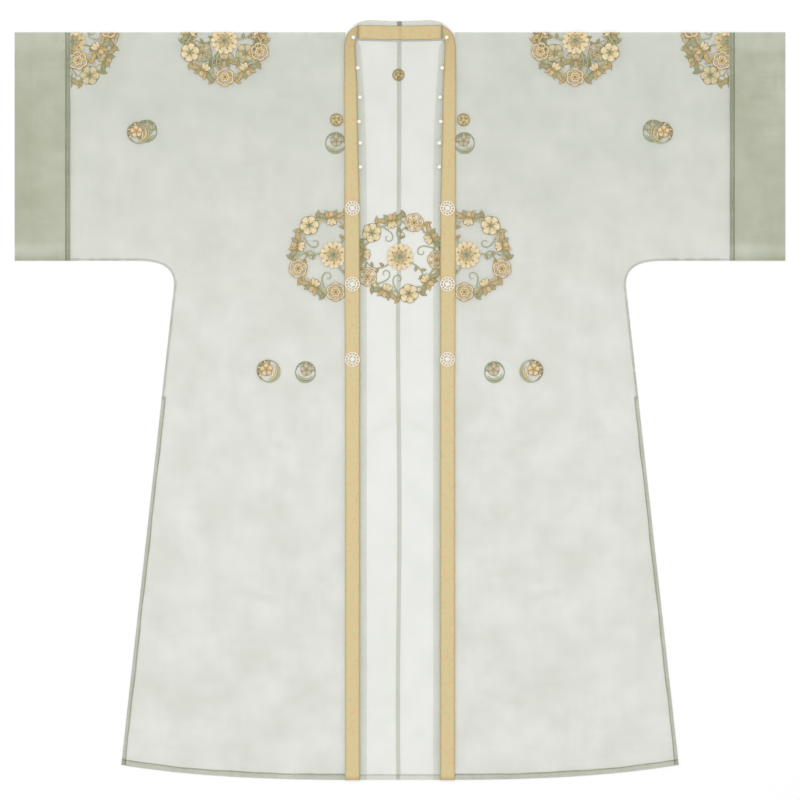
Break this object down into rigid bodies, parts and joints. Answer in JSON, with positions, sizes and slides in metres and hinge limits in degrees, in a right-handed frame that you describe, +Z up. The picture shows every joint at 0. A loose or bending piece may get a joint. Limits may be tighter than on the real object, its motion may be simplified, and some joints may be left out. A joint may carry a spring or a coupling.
{
  "type": "hanfu robe",
  "caption": "Sheer parallel-front robe laid flat, with wide sleeves, doubled cuffs, a ribbon collar, pearl trims, openwork clasps and embroidered roundels.",
  "frame": {"origin": "on the resting surface, under the middle of the robe's outline", "axes": "+X to the wearer's left along the sleeves, +Y from the hem to the neck, +Z up from the surface, front of the robe upward"},
  "size_m": [1.1946, 1.1776, 0.0104],
  "materials": {
    "organza_panel": "sheer plain-weave organza, pale sage, soft sheen",
    "organza_doubled": "doubled organza, denser sage",
    "organza_band": "doubled organza collar band",
    "jacquard_ribbon": "woven gold jacquard ribbon, fine warm mottling",
    "embroidery_gold": "satin-stitch embroidery in gold, peach, cream and sage threads",
    "embroidery_sage": "satin-stitch embroidery in sage and gold threads",
    "pearl": "pearl coating, soft lustre",
    "clasp_white": "white enamelled openwork metal, satin"
  },
  "bodies": {
    "root": {"band_left": "organza_band", "band_neck": "organza_band", "band_right": "organza_band", "body_left": "organza_panel", "body_right": "organza_panel", "clasp_left_1": "clasp_white", "clasp_left_2": "clasp_white", "clasp_left_3": "clasp_white", "clasp_right_1": "clasp_white", "clasp_right_2": "clasp_white", "clasp_right_3": "clasp_white", "cuff_left": "organza_doubled", "cuff_right": "organza_doubled", "pearl_left_1": "pearl", "pearl_left_2": "pearl", "pearl_left_3": "pearl", "pearl_left_4": "pearl", "pearl_left_5": "pearl", "pearl_left_6": "pearl", "pearl_right_1": "pearl", "pearl_right_2": "pearl", "pearl_right_3": "pearl", "pearl_right_4": "pearl", "pearl_right_5": "pearl", "pearl_right_6": "pearl", "ribbon_left": "jacquard_ribbon", "ribbon_neck": "jacquard_ribbon", "ribbon_right": "jacquard_ribbon", "roundel_back_centre": "embroidery_gold", "roundel_back_nape": "embroidery_gold", "roundel_back_neck_small_left": "embroidery_sage", "roundel_back_neck_small_right": "embroidery_sage", "roundel_back_shoulder_left": "embroidery_gold", "roundel_back_shoulder_right": "embroidery_gold", "roundel_back_skirt_small_left": "embroidery_sage", "roundel_back_skirt_small_right": "embroidery_sage", "roundel_back_sleeve_left": "embroidery_gold", "roundel_back_sleeve_right": "embroidery_gold", "roundel_back_sleeve_small_left": "embroidery_sage", "roundel_back_sleeve_small_right": "embroidery_sage", "roundel_chest_left": "embroidery_gold", "roundel_chest_right": "embroidery_gold", "roundel_neck_small_left": "embroidery_gold", "roundel_neck_small_right": "embroidery_gold", "roundel_shoulder_left": "embroidery_gold", "roundel_shoulder_right": "embroidery_gold", "roundel_skirt_small_left": "embroidery_gold", "roundel_skirt_small_right": "embroidery_gold", "roundel_sleeve_left": "embroidery_gold", "roundel_sleeve_right": "embroidery_gold", "roundel_sleeve_small_left": "embroidery_gold", "roundel_sleeve_small_right": "embroidery_gold"}
  },
  "joints": []
}
